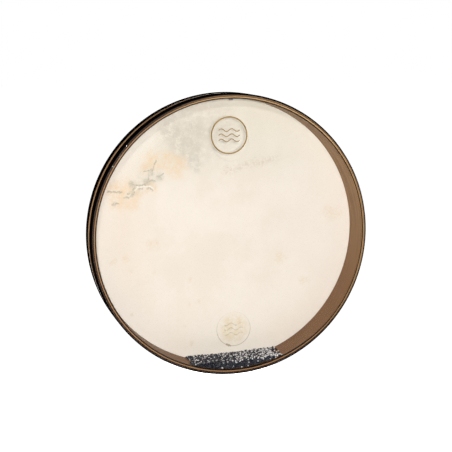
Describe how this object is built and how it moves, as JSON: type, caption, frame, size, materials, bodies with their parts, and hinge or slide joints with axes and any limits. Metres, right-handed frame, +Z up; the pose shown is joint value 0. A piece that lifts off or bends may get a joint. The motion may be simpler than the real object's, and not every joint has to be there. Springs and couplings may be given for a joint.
{
  "type": "ocean drum",
  "caption": "Shallow round frame drum of bent plies with a clear film head, a goatskin head, black trim bands and loose steel balls rolling inside.",
  "frame": {"origin": "centre of the drum, on its axis and midway between the outer faces of its two heads", "axes": "+Z up as the drum stands on its rim, Y along the drum's axis with the clear head towards -Y and the skin head towards +Y, +X to the right as seen from the clear head"},
  "size_m": [0.5589, 0.07, 0.559],
  "materials": {
    "walnut": "satin lacquer over dark walnut",
    "maple": "satin lacquer over pale wood",
    "dark_veneer": "satin lacquer over dark red wood",
    "outer_wood": "satin lacquer over brown wood",
    "clear_film": "clear glossy film",
    "goatskin": "matte natural skin with grey and tan mottling",
    "black_trim": "black satin tape",
    "nickel": "satin nickel",
    "grey_rubber": "matte grey rubber",
    "steel_shot": "dark polished steel balls"
  },
  "bodies": {
    "drum": {"inner_ply": "walnut", "core_ply": "maple", "veneer_ply": "dark_veneer", "outer_ply": "outer_wood", "clear_head": "clear_film", "skin_head": "goatskin", "front_trim_band": "black_trim", "rear_trim_band": "black_trim", "filler_bush": "nickel"},
    "plug": {"filler_plug": "grey_rubber"},
    "balls": {"ball_heap": "steel_shot", "loose_balls": "steel_shot"}
  },
  "joints": [
    {"name": "balls_roll", "type": "hinge", "parent": "drum", "child": "balls", "pos_m": [0, 0, 0], "axis": [0, 1, 0], "continuous": true},
    {"name": "plug_pull", "type": "slide", "parent": "drum", "child": "plug", "axis": [0.0209, 0, 0.9998], "range_m": [0, 0.02]}
  ]
}
